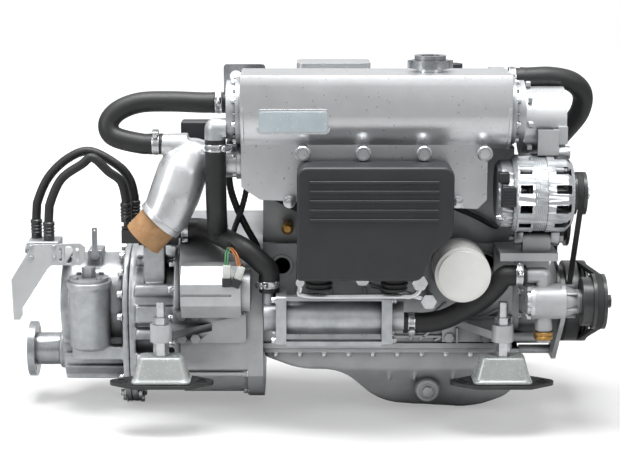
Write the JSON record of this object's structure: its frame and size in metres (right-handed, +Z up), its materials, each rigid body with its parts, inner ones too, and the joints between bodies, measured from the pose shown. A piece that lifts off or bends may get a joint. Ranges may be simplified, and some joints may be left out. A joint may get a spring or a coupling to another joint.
{
  "type": "marine diesel engine",
  "caption": "Inline marine diesel engine with a reversing gearbox, raw-water and coolant circuits, belt-driven pumps and alternator, on resilient mounts.",
  "frame": {"origin": "midway between the four mounts, on the plane of the engine bed under their base plates", "axes": "+X along the crankshaft to the belt end, +Y to the injection pump side, +Z up"},
  "size_m": [1.0575, 0.5625, 0.6615],
  "materials": {
    "engine_paint": "satin silver engine paint over castings",
    "tank_paint": "smoother, brighter silver paint",
    "cast_alloy": "as-cast aluminium",
    "gasket": "composite sheet",
    "machined_steel": "turned and ground steel",
    "piston_alloy": "turned aluminium",
    "flywheel_iron": "machined grey iron",
    "pulley_black": "black paint, bare grooves",
    "black_plastic": "moulded plastic",
    "rubber": "moulded rubber",
    "zinc_plate": "zinc-plated steel",
    "mount_black": "black paint",
    "mount_grey": "pale grey paint",
    "copper_nickel": "drawn copper alloy",
    "ring_tan": "dull tan coating",
    "filter_white": "off-white gloss paint",
    "filter_paper": "pleated filter paper",
    "cooler_black": "black paint",
    "dipstick_yellow": "yellow plastic"
  },
  "bodies": {
    "engine": {"cylinder_block": "engine_paint", "cylinder_head": "engine_paint", "oil_sump": "engine_paint", "timing_cover": "engine_paint", "flywheel_housing": "engine_paint", "mount_arms": "engine_paint", "accessory_brackets": "engine_paint", "filter_head": "engine_paint", "coolant_pump": "engine_paint", "starter_motor": "engine_paint", "injection_pump": "engine_paint", "raw_pump_body": "engine_paint", "coolant_tank": "tank_paint", "rocker_cover": "tank_paint", "exhaust_elbow": "tank_paint", "thermostat_housing": "tank_paint", "raw_pump_cover": "tank_paint", "gearbox_front": "cast_alloy", "gearbox_rear": "cast_alloy", "gearbox_cap": "cast_alloy", "tank_end_caps": "cast_alloy", "oil_cooler": "cast_alloy", "alternator_body": "cast_alloy", "head_gasket": "gasket", "lifting_eyes": "machined_steel", "air_box": "black_plastic", "air_boots": "rubber", "coolant_hoses": "rubber", "raw_water_hoses": "rubber", "gearbox_hoses": "rubber", "drive_belts": "rubber", "mount_studs": "zinc_plate", "hose_clamps": "zinc_plate", "oil_pipes": "zinc_plate", "fuel_lines": "zinc_plate", "cable_bracket": "zinc_plate", "mount_bases": "mount_black", "mount_domes": "mount_grey", "tube_stack": "copper_nickel", "exhaust_ring": "ring_tan", "oil_filter": "filter_white", "air_element": "filter_paper", "gearbox_cooler": "cooler_black"},
    "crank": {"crankshaft": "machined_steel", "flywheel": "flywheel_iron", "input_shaft": "machined_steel", "crank_pulley": "pulley_black"},
    "camshaft": {"camshaft": "machined_steel"},
    "pistons_outer": {"pistons_outer": "piston_alloy"},
    "pistons_inner": {"pistons_inner": "piston_alloy"},
    "alternator_rotor": {"alternator_rotor": "pulley_black"},
    "coolant_pulley": {"coolant_pulley": "pulley_black"},
    "raw_pump_rotor": {"raw_pump_rotor": "pulley_black"},
    "output_shaft": {"output_shaft": "machined_steel"},
    "shift_lever": {"shift_lever": "machined_steel"},
    "throttle_lever": {"throttle_lever": "machined_steel"},
    "stop_lever": {"stop_lever": "machined_steel"},
    "pressure_cap": {"pressure_cap": "machined_steel"},
    "oil_filler_cap": {"oil_filler_cap": "black_plastic"},
    "dipstick": {"dipstick": "dipstick_yellow"}
  },
  "joints": [
    {"name": "crank_turn", "type": "hinge", "parent": "engine", "child": "crank", "pos_m": [0, 0, 0.1], "axis": [1, 0, 0], "continuous": true},
    {"name": "camshaft_turn", "type": "hinge", "parent": "engine", "child": "camshaft", "pos_m": [0, 0.072, 0.19], "axis": [1, 0, 0], "continuous": true},
    {"name": "alternator_turn", "type": "hinge", "parent": "engine", "child": "alternator_rotor", "pos_m": [0.425, -0.2, 0.337], "axis": [1, 0, 0], "continuous": true},
    {"name": "coolant_pump_turn", "type": "hinge", "parent": "engine", "child": "coolant_pulley", "pos_m": [0.425, 0, 0.26], "axis": [1, 0, 0], "continuous": true},
    {"name": "raw_pump_turn", "type": "hinge", "parent": "engine", "child": "raw_pump_rotor", "pos_m": [0.461, -0.215, 0.149], "axis": [1, 0, 0], "continuous": true},
    {"name": "output_turn", "type": "hinge", "parent": "engine", "child": "output_shaft", "pos_m": [-0.56, 0, 0.008], "axis": [1, 0, 0], "continuous": true},
    {"name": "outer_pistons_slide", "type": "slide", "parent": "engine", "child": "pistons_outer", "axis": [0, 0, 1], "range_m": [-0.054, 0.054]},
    {"name": "inner_pistons_slide", "type": "slide", "parent": "engine", "child": "pistons_inner", "axis": [0, 0, 1], "range_m": [-0.054, 0.054]},
    {"name": "shift_swing", "type": "hinge", "parent": "engine", "child": "shift_lever", "pos_m": [-0.43, -0.053, 0.198], "axis": [0, 1, 0], "range_deg": [-30, 30]},
    {"name": "throttle_swing", "type": "hinge", "parent": "engine", "child": "throttle_lever", "pos_m": [0.127, 0.144, 0.2185], "axis": [0, 0, 1], "range_deg": [-25, 25]},
    {"name": "stop_swing", "type": "hinge", "parent": "engine", "child": "stop_lever", "pos_m": [0.127, 0.1705, 0.156], "axis": [0, 1, 0], "range_deg": [-30, 30]},
    {"name": "pressure_cap_twist", "type": "hinge", "parent": "engine", "child": "pressure_cap", "pos_m": [0.169, -0.165, 0.5495], "axis": [0, 0, 1], "range_deg": [0, 90]},
    {"name": "oil_cap_twist", "type": "hinge", "parent": "engine", "child": "oil_filler_cap", "pos_m": [0.214, 0, 0.5255], "axis": [0, 0, 1], "range_deg": [0, 90]},
    {"name": "dipstick_slide", "type": "slide", "parent": "engine", "child": "dipstick", "axis": [0, 0, 1], "range_m": [0, 0.2]}
  ],
  "couplings": [
    {"joint": "camshaft_turn", "follows": "crank_turn", "ratio": 0.5},
    {"joint": "alternator_turn", "follows": "crank_turn", "ratio": 2.027},
    {"joint": "coolant_pump_turn", "follows": "crank_turn", "ratio": 1.3636},
    {"joint": "raw_pump_turn", "follows": "crank_turn", "ratio": 1.5625},
    {"joint": "inner_pistons_slide", "follows": "outer_pistons_slide", "ratio": -1}
  ]
}
